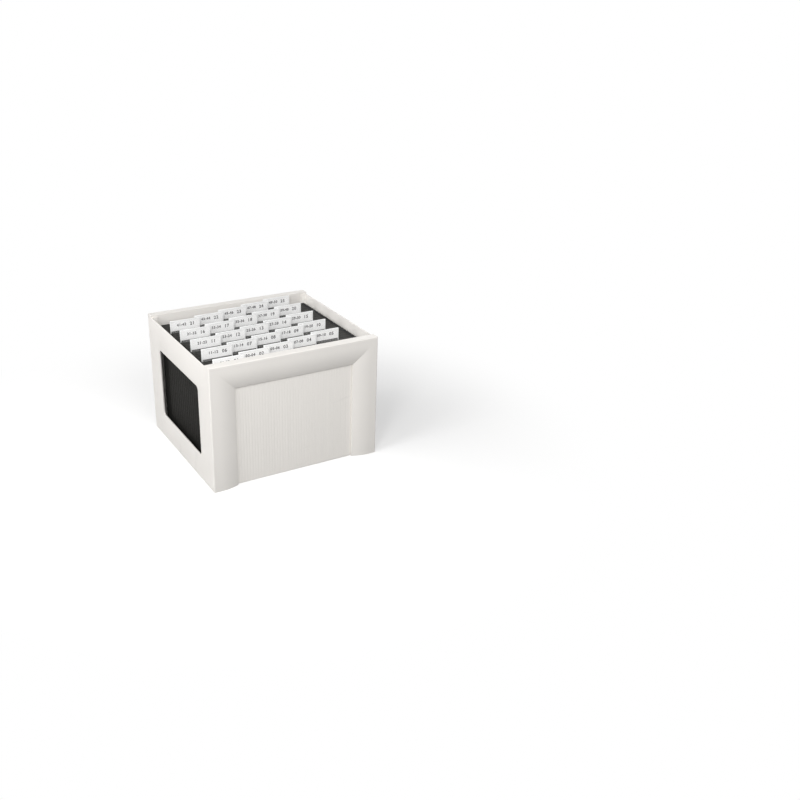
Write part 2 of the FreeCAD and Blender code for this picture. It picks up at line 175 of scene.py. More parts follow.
def draw_outline(name, points):
    """Draw a closed outline as one face, by extruding a single point from corner to corner."""
    deselect()
    bpy.ops.mesh.primitive_plane_add(size=MM, location=points[0])
    piece = bpy.context.object
    piece.name = name
    bpy.ops.object.transform_apply(location=True, rotation=True, scale=True)
    bpy.ops.object.mode_set(mode="EDIT")
    bpy.ops.mesh.select_all(action="SELECT")
    bpy.ops.mesh.merge(type="CENTER")
    for here, there in zip(points, points[1:]):
        step = Vector(there) - Vector(here)
        bpy.ops.mesh.extrude_vertices_move(TRANSFORM_OT_translate={"value": step})
    bpy.ops.mesh.select_all(action="SELECT")
    bpy.ops.mesh.edge_face_add()
    return piece


def block(name, low, high):
    """Start a piece as a block between two corners."""
    deselect()
    middle = (Vector(low) + Vector(high)) / 2
    size = Vector(high) - Vector(low)
    bpy.ops.mesh.primitive_cube_add(size=1, location=middle, scale=size)
    piece = bpy.context.object
    piece.name = name
    bpy.ops.object.transform_apply(location=True, rotation=True, scale=True)
    return piece


def modify(piece, kind, **settings):
    """Add a modifier with its settings and apply it."""
    pick(piece)
    modifier = piece.modifiers.new(kind.lower(), kind)
    for key, setting in settings.items():
        setattr(modifier, key, setting)
    bpy.ops.object.modifier_apply(modifier=modifier.name)


def soften(piece, width, segments=2, angle=40, rubbed=-1):
    """Round the crisp edges a little. The rounds can take the second, rubbed finish."""
    modify(piece, "BEVEL", width=width, segments=segments, limit_method="ANGLE",
           angle_limit=math.radians(angle), use_clamp_overlap=True, material=rubbed)
    pick(piece)
    bpy.ops.object.shade_smooth_by_angle(angle=math.radians(32))


def close_up(piece):
    """Merge doubles, point every face outwards and leave edit mode."""
    bpy.ops.mesh.select_mode(type="VERT")
    bpy.ops.mesh.select_all(action="SELECT")
    bpy.ops.mesh.remove_doubles(threshold=HAIR / 5)
    bpy.ops.mesh.normals_make_consistent(inside=False)
    bpy.ops.object.mode_set(mode="OBJECT")
    return piece


def copied(piece, name, move):
    """Copy a piece with its own mesh and put the copy's place into the mesh."""
    twin = piece.copy()
    twin.data = piece.data.copy()
    twin.name = name
    bpy.context.scene.collection.objects.link(twin)
    twin.data.transform(move)
    return twin


def half_turned(piece, name):
    """Copy a piece turned half round the box's upright middle line."""
    return copied(piece, name, Matrix.Rotation(math.pi, 4, "Z"))


def joined(pieces, name):
    """Join several pieces into one."""
    deselect()
    for piece in pieces:
        piece.select_set(True)
    bpy.context.view_layer.objects.active = pieces[0]
    bpy.ops.object.join()
    pieces[0].name = name
    return pieces[0]


def fit(piece, body, slot, *nodes):
    """Let a finished piece ride on its body and stand for its CAD nodes."""
    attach(piece, body)
    if nodes:
        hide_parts(*nodes)


def paint(piece, *materials):
    """Give a piece its materials, the rubbed one second, and keep which face has which."""
    faces = [face.material_index for face in piece.data.polygons]
    piece.data.materials.clear()
    for material in materials:
        piece.data.materials.append(material)
    for face, index in zip(piece.data.polygons, faces):
        face.material_index = min(index, len(materials) - 1)


# Materials

def new_material(name, colour, roughness):
    """Start a material with a colour and roughness on its own shader."""
    material = bpy.data.materials.new(name)
    material.use_nodes = True
    shader = material.node_tree.nodes["Principled BSDF"]
    shader.inputs["Base Color"].default_value = (*colour, 1)
    shader.inputs["Roughness"].default_value = roughness
    return material, shader


def add(material, kind, **settings):
    """Add a node with its settings. A setting that names an input sets its value."""
    node = material.node_tree.nodes.new(kind)
    for key, setting in settings.items():
        if key in node.inputs:
            node.inputs[key].default_value = setting
        else:
            setattr(node, key, setting)
    return node


def wire(material, source, output, target, entry):
    """Join one node's output to another node's input."""
    material.node_tree.links.new(source.outputs[output], target.inputs[entry])


def noise(material, scale, detail, stretch=(1, 1, 1)):
    """A noise pattern on object coordinates, stretched along each axis."""
    mapping = add(material, "ShaderNodeMapping", Scale=stretch)
    wire(material, add(material, "ShaderNodeTexCoord"), "Object", mapping, "Vector")
    texture = add(material, "ShaderNodeTexNoise", Scale=scale, Detail=detail)
    wire(material, mapping, "Vector", texture, "Vector")
    return texture


def height(material):
    """The height above the floor, as the Z of object coordinates."""
    rise = add(material, "ShaderNodeSeparateXYZ")
    wire(material, add(material, "ShaderNodeTexCoord"), "Object", rise, "Vector")
    return rise


def mapped(material, source, output, before, after=(0, 1), **settings):
    """Map one range of a pattern's values to another."""
    ranged = add(material, "ShaderNodeMapRange", **settings)
    for entry, value in zip(("From Min", "From Max", "To Min", "To Max"), (*before, *after)):
        ranged.inputs[entry].default_value = value
    wire(material, source, output, ranged, "Value")
    return ranged


def noise_range(material, texture, low, high):
    """Map the middle part of a noise pattern to a narrow range of values."""
    return mapped(material, texture, 0, (0.3, 0.7), (low, high))


def shade_colour(material, shader, colour, texture, dark, light):
    """Let a pattern darken and lighten the colour a little."""
    mixed = add(material, "ShaderNodeMix", data_type="RGBA", blend_type="MULTIPLY")
    mixed.inputs["Factor"].default_value = 1
    mixed.inputs[MIX_FIRST].default_value = (*colour, 1)
    wire(material, noise_range(material, texture, dark, light), 0, mixed, MIX_SECOND)
    wire(material, mixed, MIX_RESULT, shader, "Base Color")
    return mixed


def vary_gloss(material, shader, texture, low, high):
    """Let a pattern move the roughness between two values."""
    wire(material, noise_range(material, texture, low, high), 0, shader, "Roughness")


def bump(material, shader, texture, distance, strength, under=None):
    """Raise the surface by a pattern, on top of an earlier bump if there is one."""
    relief = add(material, "ShaderNodeBump", Distance=distance, Strength=strength)
    wire(material, texture, 0, relief, "Height")
    if under is not None:
        wire(material, under, "Normal", relief, "Normal")
    wire(material, relief, "Normal", shader, "Normal")
    return relief


def scuffs(material, scale, stretch, low, high):
    """Sparse rubbed streaks: 0 on clean ground, 1 in a streak."""
    return mapped(material, noise(material, scale, 9, stretch), 0, (low, high))


def darken_by_share(material, shader, clean, dark_colour, share):
    """Mix a darker colour into the clean one by a share and give the result to the shader."""
    mixed = add(material, "ShaderNodeMix", data_type="RGBA")
    wire(material, share, 0, mixed, "Factor")
    wire(material, clean, MIX_RESULT, mixed, MIX_FIRST)
    mixed.inputs[MIX_SECOND].default_value = (*dark_colour, 1)
    wire(material, mixed, MIX_RESULT, shader, "Base Color")


def worked_out(material, operation, first, second):
    """One sum on two values, each a node's first output or a plain number."""
    result = add(material, "ShaderNodeMath", operation=operation)
    for entry, source in enumerate((first, second)):
        if isinstance(source, (int, float)):
            result.inputs[entry].default_value = source
        else:
            wire(material, source, 0, result, entry)
    return result


def moulded_plastic():
    """Pale grey moulding: spark-eroded grain, faint clouding, and darker streaks that fade out
    upwards from its foot.
    """
    colour = (0.795, 0.768, 0.732)
    material, shader = new_material("moulded_plastic", colour, 0.5)
    clean = shade_colour(material, shader, colour, noise(material, 9, 3), 0.98, 1.015)
    marks = scuffs(material, 34, (1, 1, 0.25), 0.60, 0.74)
    # darker streaks, strongest at the floor and gone 70 mm up
    foot = mapped(material, height(material), "Z", (0, 70 * MM), (1, 0))
    low_marks = worked_out(material, "MULTIPLY", marks, foot)
    share = worked_out(material, "MULTIPLY", low_marks, 0.5)
    darken_by_share(material, shader, clean, (0.60, 0.585, 0.56), share)
    vary_gloss(material, shader, noise(material, 60, 4), 0.42, 0.56)
    swell = bump(material, shader, noise(material, 42, 2), 0.12 * MM, 0.5)
    streaks = bump(material, shader, marks, 0.015 * MM, 0.5, swell)
    bump(material, shader, noise(material, 1500, 2), 0.035 * MM, 0.7, streaks)
    return material


def rubbed_plastic():
    """The moulding's edges, where handling has polished the grain away."""
    colour = (0.83, 0.81, 0.785)
    material, shader = new_material("rubbed_plastic", colour, 0.34)
    shade_colour(material, shader, colour, noise(material, 70, 5), 0.95, 1.03)
    vary_gloss(material, shader, noise(material, 130, 5), 0.24, 0.46)
    bump(material, shader, noise(material, 600, 3), 0.015 * MM, 0.4)
    return material


def sheet_plastic():
    """Twin-wall sheet with fine drawn lines along its flutes and a slight sheen."""
    colour = (0.84, 0.812, 0.772)
    material, shader = new_material("sheet_plastic", colour, 0.42)
    drawn = noise(material, 260, 3, (1, 1, 0.02))
    clean = shade_colour(material, shader, colour, drawn, 0.982, 1.014)
    marks = scuffs(material, 20, (1, 1, 3.5), 0.63, 0.76)
    share = worked_out(material, "MULTIPLY", marks, 0.22)
    darken_by_share(material, shader, clean, (0.62, 0.605, 0.58), share)
    vary_gloss(material, shader, noise(material, 40, 3), 0.36, 0.50)
    lines = bump(material, shader, drawn, 0.02 * MM, 0.8)
    bump(material, shader, noise(material, 1100, 2), 0.015 * MM, 0.5, lines)
    return material


def zinc_steel():
    """Zinc-plated screws with fine streaks."""
    colour = (0.60, 0.60, 0.59)
    material, shader = new_material("zinc_steel", colour, 0.34)
    shader.inputs["Metallic"].default_value = 1
    streaks = noise(material, 500, 3, (0.3, 1, 1))
    shade_colour(material, shader, colour, streaks, 0.90, 1.06)
    vary_gloss(material, shader, noise(material, 300, 4), 0.26, 0.44)
    bump(material, shader, streaks, 0.01 * MM, 0.7)
    return material


def lacquered_steel():
    """Dark lacquered strip for the rods and rails, with drawn streaks along it."""
    colour = (0.030, 0.030, 0.031)
    material, shader = new_material("lacquered_steel", colour, 0.36)
    streaks = noise(material, 420, 3, (0.04, 0.04, 1))
    shade_colour(material, shader, colour, streaks, 0.8, 1.3)
    vary_gloss(material, shader, noise(material, 90, 4), 0.28, 0.46)
    bump(material, shader, streaks, 0.012 * MM, 0.7)
    return material


def rubbed_lacquer():
    """The strips' edges, where sliding hooks have thinned the lacquer to greyish metal."""
    colour = (0.13, 0.13, 0.13)
    material, shader = new_material("rubbed_lacquer", colour, 0.3)
    shader.inputs["Metallic"].default_value = 0.4
    shade_colour(material, shader, colour, noise(material, 180, 6), 0.35, 1.5)
    vary_gloss(material, shader, noise(material, 220, 4), 0.22, 0.42)
    bump(material, shader, noise(material, 700, 3), 0.01 * MM, 0.6)
    return material


def folder_card():
    """Near-black folder card with a fibre grain and pressed crease lines near its fold."""
    colour = (0.034, 0.033, 0.030)
    material, shader = new_material("folder_card", colour, 0.6)
    fibres = noise(material, 420, 5)
    shade_colour(material, shader, colour, fibres, 0.75, 1.35)
    vary_gloss(material, shader, noise(material, 30, 3), 0.52, 0.68)
    grain = bump(material, shader, fibres, 0.05 * MM, 0.6)
    rise = height(material)
    crease = add(material, "ShaderNodeMath", operation="PINGPONG")
    crease.inputs[1].default_value = CREASE_PITCH / 2
    wire(material, rise, "Z", crease, 0)
    groove = worked_out(material, "LESS_THAN", crease, 0.5 * MM)
    low_part = add(material, "ShaderNodeMath", operation="LESS_THAN")
    low_part.inputs[1].default_value = FOLDER_LOW.z + CREASED_HEIGHT
    wire(material, rise, "Z", low_part, 0)
    pressed = worked_out(material, "MULTIPLY", groove, low_part)
    bump(material, shader, pressed, 0.2 * MM, 0.6, grain).invert = True
    return material


def rubbed_card():
    """The card's folded and cut edges, greyer where the fibre shows."""
    colour = (0.045, 0.044, 0.041)
    material, shader = new_material("rubbed_card", colour, 0.72)
    fibres = noise(material, 260, 6)
    shade_colour(material, shader, colour, fibres, 0.4, 1.6)
    vary_gloss(material, shader, noise(material, 300, 3), 0.62, 0.82)
    bump(material, shader, fibres, 0.04 * MM, 0.6)
    return material


def label_paper():
    """White label paper with a faint fibre."""
    colour = (0.96, 0.955, 0.95)
    material, shader = new_material("label_paper", colour, 0.82)
    fibres = noise(material, 700, 4)
    shade_colour(material, shader, colour, fibres, 0.97, 1.02)
    vary_gloss(material, shader, noise(material, 200, 3), 0.76, 0.88)
    bump(material, shader, fibres, 0.02 * MM, 0.6)
    return material


def label_ink():
    """Dark printed numbers, slightly uneven."""
    colour = (0.045, 0.045, 0.048)
    material, shader = new_material("label_ink", colour, 0.7)
    spread = noise(material, 900, 3)
    shade_colour(material, shader, colour, spread, 0.8, 1.25)
    vary_gloss(material, shader, spread, 0.6, 0.8)
    bump(material, shader, spread, 0.01 * MM, 0.5)
    return material


def clear_plastic():
    """Clear sleeve plastic with a soft sheen and faint rub marks."""
    colour = (0.95, 0.955, 0.95)
    material, shader = new_material("clear_plastic", colour, 0.16)
    shader.inputs["Alpha"].default_value = 0.05
    shader.inputs["IOR"].default_value = 1.49
    rubs = noise(material, 120, 4, (0.2, 1, 1))
    vary_gloss(material, shader, rubs, 0.10, 0.26)
    shade_colour(material, shader, colour, rubs, 0.97, 1.02)
    bump(material, shader, noise(material, 60, 2), 0.03 * MM, 0.5)
    return material


def edge_plastic():
    """The sleeve's plastic along its folded edges, where it is thick and reads white."""
    colour = (0.93, 0.935, 0.93)
    material, shader = new_material("edge_plastic", colour, 0.22)
    rubs = noise(material, 160, 4, (0.2, 1, 1))
    vary_gloss(material, shader, rubs, 0.16, 0.30)
    shade_colour(material, shader, colour, rubs, 0.96, 1.02)
    bump(material, shader, noise(material, 90, 2), 0.02 * MM, 0.5)
    return material


def looked_at(material):
    """1 for rays that show a surface to the camera: straight, through clear plastic or mirrored."""
    rays = add(material, "ShaderNodeLightPath")
    direct = add(material, "ShaderNodeMath", operation="MAXIMUM")
    wire(material, rays, "Is Camera Ray", direct, 0)
    wire(material, rays, "Is Transmission Ray", direct, 1)
    seen = add(material, "ShaderNodeMath", operation="MAXIMUM")
    wire(material, direct, 0, seen, 0)
    wire(material, rays, "Is Glossy Ray", seen, 1)
    return seen


def mixed_shader(material, share, first, second):
    """Mix two shaders by a share."""
    mixed = add(material, "ShaderNodeMixShader")
    wire(material, share, 0, mixed, 0)
    wire(material, first, 0, mixed, 1)
    wire(material, second, 0, mixed, 2)
    return mixed


def floor_finish():
    """Plain pale floor that keeps the shadow, turns white far out and throws little light back."""
    material, dim = new_material("floor_finish", (0.12, 0.12, 0.12), 0.9)
    near = add(material, "ShaderNodeBsdfPrincipled", Roughness=0.9)
    near.inputs["Base Color"].default_value = (0.93, 0.93, 0.93, 1)
    near.inputs["Emission Color"].default_value = WHITE
    near.inputs["Emission Strength"].default_value = 0.08
    for finish in (dim, near):
        finish.inputs["Specular IOR Level"].default_value = 0.1
    far = add(material, "ShaderNodeEmission", Color=WHITE, Strength=1)
    distance = add(material, "ShaderNodeVectorMath", operation="LENGTH")
    wire(material, add(material, "ShaderNodeTexCoord"), "Object", distance, 0)
    fade = mapped(material, distance, "Value", FLOOR_FADE, interpolation_type="SMOOTHSTEP")
    shown = mixed_shader(material, fade, near, far)
    whole = mixed_shader(material, looked_at(material), dim, shown)
    wire(material, whole, 0, material.node_tree.nodes["Material Output"], "Surface")
    return material


# Frames

def band_section():
    """The section of a frame's band as (way in from the outer edge, way back from the face)."""
    points = []
    steps = 5
    for step in range(steps + 1):
        angle = math.pi / 2 * step / steps
        points.append((OUTER_ROUND * (1 - math.sin(angle)), OUTER_ROUND * (1 - math.cos(angle))))
    points.reverse()
    reach = BAND - LAND
    radius = (reach ** 2 + ROLL_DROP ** 2) / (2 * ROLL_DROP)
    sweep = math.asin(reach / radius)
    roll_steps = 14
    for step in range(roll_steps + 1):
        angle = sweep * step / roll_steps
        points.append((LAND + radius * math.sin(angle), radius * (1 - math.cos(angle))))
    points += [
        (BAND, PANEL_FACE),
        (BAND - GROOVE_DEPTH, PANEL_FACE),
        (BAND - GROOVE_DEPTH, PANEL_BACK),
        (BAND, PANEL_BACK),
        (BAND, FRAME_DEPTH),
        (0, FRAME_DEPTH),
    ]
    return points


def moulded_frame(name):
    """A frame swept from one mitred section: a top band and two posts."""
    corners = []
    for inward, deep in band_section():
        corners.append(Vector((inward - BOX_HALF, BOX_LOW.y + deep, BOX_TOP - inward)))
    piece = draw_outline(name, corners)
    pull((0, 0, 0))
    bpy.ops.transform.resize(value=(-1, 1, 1), center_override=(0, 0, 0))
    pull((0, 0, 0))
    bpy.ops.transform.resize(value=(1, 1, 0), center_override=(0, 0, 0))
    section_size = len(corners)
    select_where(piece, "faces", lambda face, middle, co: len(co) == section_size and middle.x < 0)
    pull((0, 0, 0))
    bpy.ops.transform.resize(value=(1, 1, 0), center_override=(0, 0, 0))
    select_where(piece, "edges", lambda edge, middle, co: all(
        abs(BOX_HALF - abs(c.x) - (BOX_TOP - c.z)) < HAIR for c in co))
    bpy.ops.mesh.mark_sharp()
    return close_up(piece)


def twin_wall_panel(name):
    """A sheet whose skin sinks a little at each web, so that its flutes show as fine ribs."""
    pitch = 6.0 * MM
    sink = 0.28 * MM
    wave = [(0.0, 1.0), (0.14, 0.3), (0.32, 0.0), (0.68, 0.0), (0.86, 0.3)]
    flutes = int((PANEL_HIGH.x - PANEL_LOW.x) / pitch)
    margin = (PANEL_HIGH.x - PANEL_LOW.x - flutes * pitch) / 2
    corners = [Vector((PANEL_LOW.x, PANEL_LOW.y, PANEL_LOW.z))]
    for flute in range(flutes):
        for along, depth in wave:
            x = PANEL_LOW.x + margin + (flute + along) * pitch
            corners.append(Vector((x, PANEL_LOW.y + sink * depth, PANEL_LOW.z)))
    corners += [
        Vector((PANEL_HIGH.x, PANEL_LOW.y, PANEL_LOW.z)),
        Vector((PANEL_HIGH.x, PANEL_HIGH.y, PANEL_LOW.z)),
        Vector((PANEL_LOW.x, PANEL_HIGH.y, PANEL_LOW.z)),
    ]
    piece = draw_outline(name, corners)
    pull((0, 0, PANEL_HIGH.z - PANEL_LOW.z))
    close_up(piece)
    pick(piece)
    bpy.ops.object.shade_smooth_by_angle(angle=math.radians(40))
    return piece


# Side walls

def cut_across(place_at, normal):
    """Add an edge line where a plane crosses the piece being edited."""
    bpy.ops.mesh.select_all(action="SELECT")
    bpy.ops.mesh.bisect(plane_co=place_at, plane_no=normal)


def side_wall(name):
    """A side wall with its hand opening, end flanges and grip lip."""
    outer = SIDE_LOW.x
    inner = outer + WALL
    low, high = SIDE_LOW.y, SIDE_HIGH.y
    top = SIDE_HIGH.z
    reach = BACK_HIGH.y - POST
    opening_top = top - GRIP_BAND
    piece = block(name, (outer, low, SIDE_LOW.z), (inner, high, top))
    bpy.ops.object.mode_set(mode="EDIT")
    for along in (low + WALL, -reach, reach, high - WALL):
        cut_across((outer, along, 0), (0, 1, 0))
    for up in (BASE_HIGH.z, SILL, opening_top):
        cut_across((outer, 0, up), (0, 0, 1))

    def in_opening(face, middle, co):
        return abs(face.normal.x) > 0.9 and abs(middle.y) < reach and SILL < middle.z < opening_top

    select_where(piece, "faces", in_opening)
    bpy.ops.mesh.bridge_edge_loops()

    def opening_corner(edge, middle, co):
        level = abs(co[0].x - co[1].x) > WALL / 2
        at_end = abs(abs(middle.y) - reach) < NEAR
        return level and at_end and min(abs(middle.z - SILL), abs(middle.z - opening_top)) < NEAR

    select_where(piece, "edges", opening_corner)
    bpy.ops.mesh.bevel(offset=OPENING_ROUND, segments=8, affect="EDGES")

    def flange_strip(face, middle, co):
        near_end = middle.y < low + WALL or middle.y > high - WALL
        return face.normal.x > 0.9 and near_end and middle.z > BASE_HIGH.z

    select_where(piece, "faces", flange_strip)
    pull((SIDE_HIGH.x - inner, 0, 0))
    close_up(piece)
    soften(piece, 0.6 * MM, 3, rubbed=1)
    lip = block(name + "_lip", (inner - RIB_SUNK, OPENING_ROUND - reach, opening_top),
                (inner + GRIP_LIP, reach - OPENING_ROUND, opening_top + WALL))
    soften(lip, 1.3 * MM, 4, rubbed=1)
    return joined([piece, lip], name)


# Base and rails

def base_tray(name):
    """The floor plate with its panel tongues and the ribs behind them."""
    half = BASE_HIGH.x
    plate_half = SIDE_HIGH.y
    tongue = BOX_HALF - BAND - NEAR
    reach = BASE_HIGH.y
    quarter = [(half, plate_half), (tongue, plate_half), (tongue, reach)]
    ring = quarter + [(-x, y) for x, y in reversed(quarter)]
    ring += [(-x, -y) for x, y in quarter]
    ring += [(x, -y) for x, y in reversed(quarter)]
    piece = draw_outline(name, [Vector((x, y, 0)) for x, y in ring])
    pull((0, 0, BASE_THICK))
    select_where(piece, "faces", lambda face, middle, co: all(c.z < NEAR for c in co))
    border, slope, rise = 14 * MM, 1.5 * MM, 0.9 * MM
    bpy.ops.mesh.inset(thickness=border)
    bpy.ops.mesh.inset(thickness=slope)
    bpy.ops.transform.translate(value=(0, 0, rise))
    close_up(piece)
    soften(piece, 0.4 * MM, 2, rubbed=1)
    rib_face = PANEL_HIGH.y + NEAR
    front_rib = block(name + "_rib", (-tongue, rib_face, BASE_THICK - RIB_SUNK),
                      (tongue, rib_face + WALL, BASE_HIGH.z))
    soften(front_rib, 0.5 * MM, 2, rubbed=1)
    back_rib = half_turned(front_rib, name + "_back_rib")
    return joined([piece, front_rib, back_rib], name)


def rail_strip(name):
    """A rail: a flat strip on edge with a turned foot at each end."""
    face = RAIL_LOW.x + RAIL_THICK
    foot = RAIL_HIGH.x
    near, far = RAIL_LOW.y, RAIL_HIGH.y
    ring = [
        (RAIL_LOW.x, near), (foot, near), (foot, near + RAIL_THICK), (face, near + RAIL_THICK),
        (face, far - RAIL_THICK), (foot, far - RAIL_THICK), (foot, far), (RAIL_LOW.x, far),
    ]
    piece = draw_outline(name, [Vector((x, y, RAIL_LOW.z)) for x, y in ring])
    pull((0, 0, RAIL_HIGH.z - RAIL_LOW.z))
    close_up(piece)
    soften(piece, 0.35 * MM, 2, rubbed=1)
    return piece


def screw_piece(name, spot):
    """One pan-head screw at the front with a cross recess, its head towards the box's inside."""
    deselect()
    middle = Vector(spot) + Vector((0, SCREW_TALL / 2, 0))
    bpy.ops.mesh.primitive_cylinder_add(vertices=32, radius=SCREW_HEAD, depth=SCREW_TALL,
                                        location=middle, rotation=(-math.pi / 2, 0, 0))
    piece = bpy.context.object
    piece.name = name
    bpy.ops.object.transform_apply(location=True, rotation=True, scale=True)
    bpy.ops.object.mode_set(mode="EDIT")
    crown = spot[1] + SCREW_TALL
    select_where(piece, "edges", lambda edge, mid, co: all(abs(c.y - crown) < HAIR for c in co))
    bpy.ops.mesh.bevel(offset=1.0 * MM, segments=5, affect="EDGES")
    close_up(piece)
    cross_narrow, cross_long, cross_deep = 0.8 * MM, 3.6 * MM, 1.6 * MM
    for wide, tall in ((cross_narrow, cross_long), (cross_long, cross_narrow)):
        centre = Vector((spot[0], crown, spot[2]))
        size = Vector((wide, cross_deep, tall))
        cutter = block("cross_cut", centre - size / 2, centre + size / 2)
        modify(piece, "BOOLEAN", operation="DIFFERENCE", object=cutter, solver="EXACT")
        bpy.data.objects.remove(cutter)
    pick(piece)
    bpy.ops.object.shade_smooth_by_angle(angle=math.radians(35))
    return piece


def screw_set(name):
    """Every screw of the box: two in the rails' feet and six in the flanges, at each end."""
    seat = BOX_HIGH.y
    foot_middle = (RAIL_LOW.x + RAIL_HIGH.x + RAIL_THICK) / 2
    spots = [(foot_middle, seat + RAIL_THICK, (RAIL_LOW.z + RAIL_HIGH.z) / 2)]
    flange_middle = (SIDE_LOW.x + WALL + SIDE_HIGH.x) / 2
    for up in (SILL / 2, BOX_TOP / 2, SIDE_HIGH.z - GRIP_BAND):
        spots.append((flange_middle, seat + WALL + NEAR, up))
    spots += [(-x, y, z) for x, y, z in spots]
    pieces = [screw_piece("screw_%d" % index, spot) for index, spot in enumerate(spots)]
    front = joined(pieces, name)
    return joined([front, half_turned(front, name + "_back")], name)


# Folders

def folder_card_piece(name):
    """A folder's card: two hemmed leaves joined by a flat fold, with a row of tab slots."""
    front, back = FOLDER_LOW.y, FOLDER_HIGH.y
    bottom, top = FOLDER_LOW.z, FOLDER_HIGH.z
    hem = 2 * CARD_THICK + HEM_GAP
    section = [
        (front, bottom), (back, bottom), (back, top), (back - hem, top),
        (back - hem, top - HEM_HEIGHT), (back - hem + CARD_THICK, top - HEM_HEIGHT),
        (back - hem + CARD_THICK, top - CARD_THICK),
        (back - CARD_THICK, top - CARD_THICK), (back - CARD_THICK, bottom + CARD_THICK),
        (front + CARD_THICK, bottom + CARD_THICK), (front + CARD_THICK, top - CARD_THICK),
        (front + hem - CARD_THICK, top - CARD_THICK), (front + hem - CARD_THICK, top - HEM_HEIGHT),
        (front + hem, top - HEM_HEIGHT), (front + hem, top), (front, top),
    ]
    piece = draw_outline(name, [Vector((-CARD_HALF, y, z)) for y, z in section])
    first_slot = (TAB_LOW.x + TAB_HIGH.x) / 2 - SLOT_PITCH / 2
    slot_middles = [first_slot + index * SLOT_PITCH for index in range(SLOTS)]
    edges = [-CARD_HALF]
    for slot_middle in slot_middles:
        edges += [slot_middle - SLOT_WIDTH / 2, slot_middle + SLOT_WIDTH / 2]
    edges.append(CARD_HALF)
    for here, there in zip(edges, edges[1:]):
        pull((there - here, 0, 0))
    slot_top = top - SLOT_DROP
    slot_bottom = slot_top - SLOT_TALL
    quarter = (top - bottom) / 4
    for up in (slot_top, slot_bottom, top - quarter, (top + bottom) / 2, bottom + quarter):
        cut_across((0, 0, up), (0, 0, 1))
    for slot_middle in slot_middles:
        def is_slot(face, middle, co):
            across = abs(middle.x - slot_middle) < SLOT_WIDTH / 2
            in_front_leaf = middle.y < front + CARD_THICK * 1.5 and abs(face.normal.y) > 0.9
            return across and slot_bottom < middle.z < slot_top and in_front_leaf

        select_where(piece, "faces", is_slot)
        bpy.ops.mesh.bridge_edge_loops()
    close_up(piece)
    wave_leaves(piece, top - STIFF_TOP, bottom)
    soften(piece, 0.16 * MM, 1, rubbed=1)
    return piece


def wave_leaves(piece, upper, lower):
    """Let the leaves swell and sink a little below their hems, as hanging sheets do."""
    leaf = piece.vertex_groups.new(name="leaf")
    for vert in piece.data.vertices:
        share = (upper - vert.co.z) / (upper - lower)
        leaf.add([vert.index], max(0.0, min(1.0, 3 * share)), "REPLACE")
    texture = bpy.data.textures.new("card_wave", "CLOUDS")
    texture.noise_scale = 0.12
    modify(piece, "DISPLACE", texture=texture, strength=1.0 * MM, mid_level=0.5, direction="Y",
           vertex_group="leaf", texture_coords="LOCAL")


def hanger_rods(name):
    """The two flat hanger rods of a folder, each with a notch near its ends that sits on a rail."""
    bottom = RAIL_HIGH.z - ROD_TALL / 2
    top = bottom + ROD_TALL
    half = FOLDER_HIGH.x
    right = [
        (RAIL_CENTRE - NOTCH_HALF, bottom), (RAIL_CENTRE - NOTCH_HALF, RAIL_HIGH.z),
        (RAIL_CENTRE + NOTCH_HALF, RAIL_HIGH.z), (RAIL_CENTRE + NOTCH_HALF, bottom),
        (half, bottom), (half, top),
    ]
    ring = right + [(-x, z) for x, z in reversed(right)]
    pieces = []
    in_card = CARD_THICK + ROD_GAP

    def tip_corner(edge, middle, co):
        straight_back = max(abs(co[0].z - co[1].z), abs(co[0].x - co[1].x)) < HAIR
        return straight_back and abs(middle.x) > half - NEAR

    for index, face in enumerate((FOLDER_LOW.y + in_card, FOLDER_HIGH.y - in_card - ROD_THICK)):
        rod = draw_outline("%s_%d" % (name, index), [Vector((x, face, z)) for x, z in ring])
        pull((0, ROD_THICK, 0))
        select_where(rod, "edges", tip_corner)
        bpy.ops.mesh.bevel(offset=1.6 * MM, segments=4, affect="EDGES")
        close_up(rod)
        soften(rod, 0.2 * MM, 1, rubbed=1)
        pieces.append(rod)
    return joined(pieces, name)


# Label tabs

def tab_sleeve(name):
    """A clear flat sleeve with rounded edges, whose wide faces are its clear windows."""
    front = TAB_LOW.y
    back = FOLDER_LOW.y - TAB_GAP
    high = TAB_HIGH.z
    low = high - TAB_TALL
    piece = block(name, (TAB_LOW.x, front, low), (TAB_HIGH.x, back, high))
    bpy.ops.object.mode_set(mode="EDIT")
    select_where(piece, "faces", lambda face, middle, co: abs(face.normal.x) > 0.9)
    bpy.ops.mesh.inset(thickness=TAB_WALL, use_individual=True)
    select_where(piece, "faces", lambda face, middle, co: abs(face.normal.x) > 0.9 and all(
        low + TAB_WALL / 2 < c.z < high - TAB_WALL / 2 for c in co))
    bpy.ops.mesh.bridge_edge_loops()
    select_where(piece, "faces", lambda face, middle, co: (
        face.normal.y < -0.9 and abs(middle.y - front) < HAIR))
    bpy.ops.mesh.inset(thickness=TAB_BORDER)
    close_up(piece)
    soften(piece, 0.25 * MM, 2)

    def window(face, corners):
        wide = max(c.x for c in corners) - min(c.x for c in corners)
        tall = max(c.z for c in corners) - min(c.z for c in corners)
        at_foot = max(c.z for c in corners) < low + TAB_BORDER + HAIR
        return wide > TAB_TALL and (at_foot or abs(face.normal.y) > 0.9 and tall > TAB_TALL / 2)

    for face in piece.data.polygons:
        corners = [piece.data.vertices[index].co for index in face.vertices]
        face.material_index = 0 if window(face, corners) else 1
    return piece


